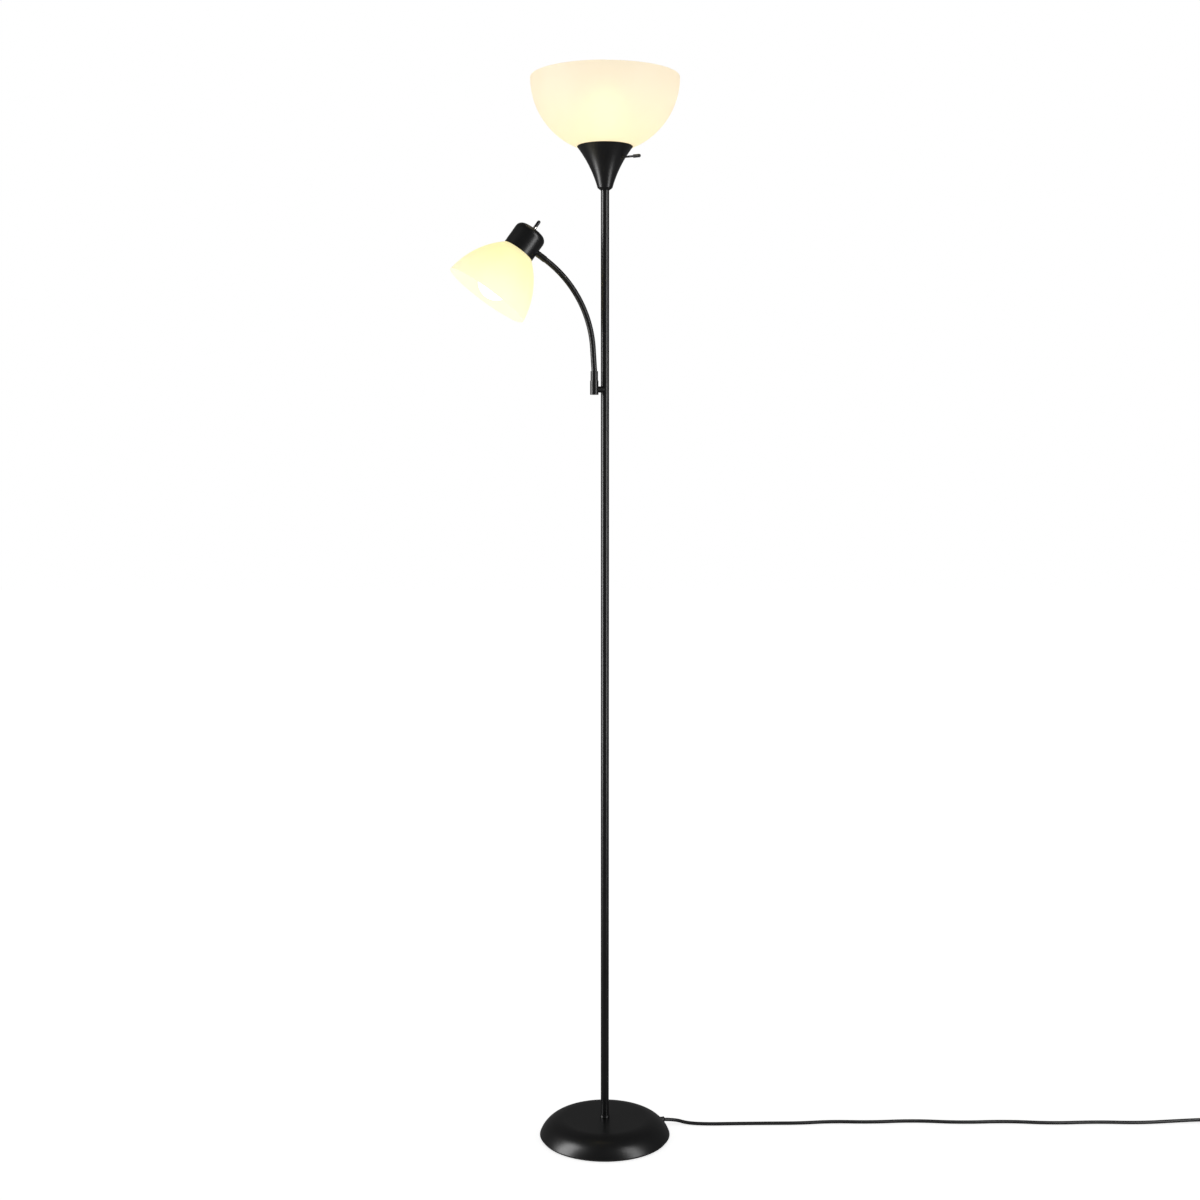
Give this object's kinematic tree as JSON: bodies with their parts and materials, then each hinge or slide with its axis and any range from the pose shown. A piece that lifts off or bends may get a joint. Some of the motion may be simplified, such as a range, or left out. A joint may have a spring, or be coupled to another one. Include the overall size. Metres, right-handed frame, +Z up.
{
  "type": "torchiere floor lamp",
  "caption": "Tall black floor lamp with an upward bowl shade on a trumpet cup and a small shaded reading lamp on a bendable side arm, lit, with its mains cord.",
  "frame": {"origin": "on the floor, on the axis of the pole", "axes": "+Z up along the pole; the front faces -Y, the reading lamp is on the -X side"},
  "size_m": [1.4064, 0.2472, 1.8],
  "materials": {
    "black_metal": "satin black powder coat",
    "plated_steel": "zinc plated",
    "cast_weight": "rough cast",
    "nickel": "nickel plated",
    "brass": "bare brass",
    "holder_plastic": "phenolic, satin",
    "knob_plastic": "moulded, semi-gloss",
    "bowl_white": "frosted, lit from inside",
    "reading_white": "frosted, lit from inside",
    "bulb_glass": "frosted bulb, lit",
    "bulb_base": "bright",
    "pad_rubber": "foam pad",
    "cord_rubber": "PVC sheath, satin",
    "tie_strap": "woven hook strap"
  },
  "bodies": {
    "stand": {"arm_bracket": "black_metal", "arm_nipple": "plated_steel", "base_cover": "black_metal", "base_nipple": "plated_steel", "base_nut": "plated_steel", "base_plate": "plated_steel", "base_washer": "plated_steel", "base_weight": "cast_weight", "bowl_shade": "bowl_white", "cord_coil": "cord_rubber", "cord_run": "cord_rubber", "cord_tail": "cord_rubber", "cord_tie": "tie_strap", "foot_collar": "black_metal", "foot_pad": "pad_rubber", "inner_cable": "cord_rubber", "plug_blades": "brass", "plug_body": "cord_rubber", "pole_coupler_1": "plated_steel", "pole_coupler_2": "plated_steel", "pole_coupler_3": "plated_steel", "pole_foot_insert": "plated_steel", "pole_section_1": "black_metal", "pole_section_2": "black_metal", "pole_section_3": "black_metal", "pole_section_4": "black_metal", "pole_top_insert": "plated_steel", "strain_relief": "cord_rubber", "top_bulb_base": "bulb_base", "top_bulb_glass": "bulb_glass", "top_contact": "brass", "top_lamp_holder": "holder_plastic", "top_nipple": "plated_steel", "top_nut": "plated_steel", "top_screw_shell": "brass", "top_shade_ring": "holder_plastic", "top_washer": "plated_steel", "trumpet_cup": "black_metal"},
    "top_knob": {"top_switch_knob": "knob_plastic"},
    "arm": {"swivel_sleeve": "black_metal", "swivel_clip": "plated_steel"},
    "neck_1": {"neck_link_1": "black_metal"},
    "neck_2": {"neck_link_2": "black_metal"},
    "neck_3": {"neck_link_3": "black_metal"},
    "neck_4": {"neck_link_4": "black_metal"},
    "head": {"head_sleeve": "black_metal", "head_nipple": "plated_steel", "head_nut": "plated_steel", "reading_cap": "black_metal", "reading_lamp_holder": "holder_plastic", "reading_screw_shell": "brass", "reading_contact": "brass", "reading_shade_ring": "holder_plastic", "reading_shade": "reading_white", "reading_bulb_glass": "bulb_glass", "reading_bulb_base": "bulb_base", "reading_switch_tube": "nickel", "reading_switch_nut": "nickel"},
    "head_knob": {"reading_switch_knob": "knob_plastic"}
  },
  "joints": [
    {"name": "top_switch_turn", "type": "hinge", "parent": "stand", "child": "top_knob", "pos_m": [0, 0, 1.668], "axis": [0.8829, -0.4695, 0], "continuous": true},
    {"name": "arm_swivel", "type": "hinge", "parent": "stand", "child": "arm", "pos_m": [-0.0178, -0.015, 1.29], "axis": [0, 0, 1], "range_deg": [-80, 120]},
    {"name": "gooseneck_bend", "type": "hinge", "parent": "arm", "child": "neck_1", "pos_m": [-0.01804, -0.01505, 1.32239], "axis": [0.1908, -0.9816, 0], "range_deg": [-6, 8]},
    {"name": "gooseneck_bend_2", "type": "hinge", "parent": "neck_1", "child": "neck_2", "pos_m": [-0.02176, -0.01577, 1.37223], "axis": [0.1908, -0.9816, 0], "range_deg": [-6, 8]},
    {"name": "gooseneck_bend_3", "type": "hinge", "parent": "neck_2", "child": "neck_3", "pos_m": [-0.03525, -0.01839, 1.42016], "axis": [0.1908, -0.9816, 0], "range_deg": [-6, 8]},
    {"name": "gooseneck_bend_4", "type": "hinge", "parent": "neck_3", "child": "neck_4", "pos_m": [-0.06042, -0.02328, 1.46292], "axis": [0.1908, -0.9816, 0], "range_deg": [-6, 8]},
    {"name": "gooseneck_bend_5", "type": "hinge", "parent": "neck_4", "child": "head", "pos_m": [-0.09557, -0.03012, 1.49761], "axis": [0.1908, -0.9816, 0], "range_deg": [-6, 8]},
    {"name": "reading_switch_turn", "type": "hinge", "parent": "head", "child": "head_knob", "pos_m": [-0.1426, -0.03926, 1.51212], "axis": [-0.5728, -0.1113, -0.8121], "continuous": true}
  ],
  "couplings": [
    {"joint": "gooseneck_bend_2", "follows": "gooseneck_bend", "ratio": 1},
    {"joint": "gooseneck_bend_3", "follows": "gooseneck_bend", "ratio": 1},
    {"joint": "gooseneck_bend_4", "follows": "gooseneck_bend", "ratio": 1},
    {"joint": "gooseneck_bend_5", "follows": "gooseneck_bend", "ratio": 1}
  ]
}
